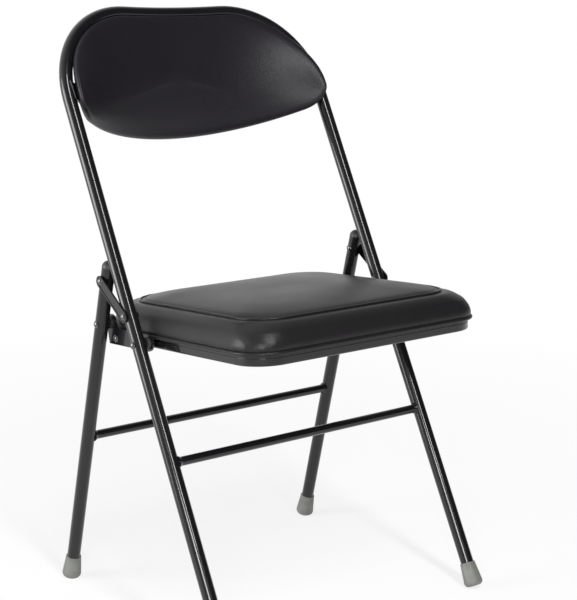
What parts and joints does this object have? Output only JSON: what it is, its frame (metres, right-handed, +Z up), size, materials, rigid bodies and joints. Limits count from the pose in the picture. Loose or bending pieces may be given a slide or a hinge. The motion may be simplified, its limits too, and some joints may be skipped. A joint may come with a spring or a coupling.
{
  "type": "folding chair",
  "caption": "Black steel-tube folding chair with a boxed vinyl seat cushion and a bowed, padded vinyl back.",
  "frame": {"origin": "on the floor, under the middle of the chair", "axes": "+Z up, the sitter faces -Y, +X is the sitter's left"},
  "size_m": [0.448, 0.4593, 0.7818],
  "materials": {
    "black_coat": "gloss",
    "vinyl": "satin",
    "back_cover": "satin",
    "foot_caps": "matte",
    "nylon": "matte",
    "plug_plastic": "satin",
    "plywood": "matte",
    "dark_rivets": "gloss"
  },
  "bodies": {
    "back_frame": {"back_frame_tube": "black_coat", "backrest_pad": "vinyl", "backrest_panel": "back_cover", "backrest_screws": "dark_rivets", "backrest_tab_left": "black_coat", "backrest_tab_right": "black_coat", "front_crossbar": "black_coat", "front_foot_left": "foot_caps", "front_foot_right": "foot_caps", "seat_pivot_rivet_left": "dark_rivets", "seat_pivot_rivet_right": "dark_rivets", "seat_pivot_washer_left": "nylon", "seat_pivot_washer_right": "nylon", "strap_pivot_rivet_left": "dark_rivets", "strap_pivot_rivet_right": "dark_rivets"},
    "seat": {"bracket_rivets": "dark_rivets", "seat_board": "plywood", "seat_bracket_left": "black_coat", "seat_bracket_right": "black_coat", "seat_cushion": "vinyl", "seat_pan": "black_coat", "seat_screws": "dark_rivets"},
    "rear_legs": {"leg_pivot_rivet_left": "dark_rivets", "leg_pivot_rivet_right": "dark_rivets", "leg_pivot_washer_left": "nylon", "leg_pivot_washer_right": "nylon", "leg_plug_left": "plug_plastic", "leg_plug_right": "plug_plastic", "leg_top_rivet_left": "dark_rivets", "leg_top_rivet_right": "dark_rivets", "rear_crossbar": "black_coat", "rear_foot_left": "foot_caps", "rear_foot_right": "foot_caps", "rear_leg_left": "black_coat", "rear_leg_right": "black_coat"},
    "hinge_straps": {"hinge_strap_left": "black_coat", "hinge_strap_right": "black_coat", "strap_end_rivet_left": "dark_rivets", "strap_end_rivet_right": "dark_rivets"}
  },
  "joints": [
    {"name": "seat_fold", "type": "hinge", "parent": "back_frame", "child": "seat", "pos_m": [0, -0.01399, 0.36736], "axis": [-1, 0, 0], "range_deg": [0, 110]},
    {"name": "leg_fold", "type": "hinge", "parent": "seat", "child": "rear_legs", "pos_m": [0, 0.07311, 0.37853], "axis": [-1, 0, 0], "range_deg": [-68.43, 0]},
    {"name": "strap_swing", "type": "hinge", "parent": "back_frame", "child": "hinge_straps", "pos_m": [0, 0.00399, 0.40117], "axis": [-1, 0, 0], "range_deg": [0, 131.4]}
  ],
  "couplings": [
    {"joint": "leg_fold", "follows": "seat_fold", "ratio": -0.62187},
    {"joint": "strap_swing", "follows": "seat_fold", "ratio": 1.1944}
  ]
}
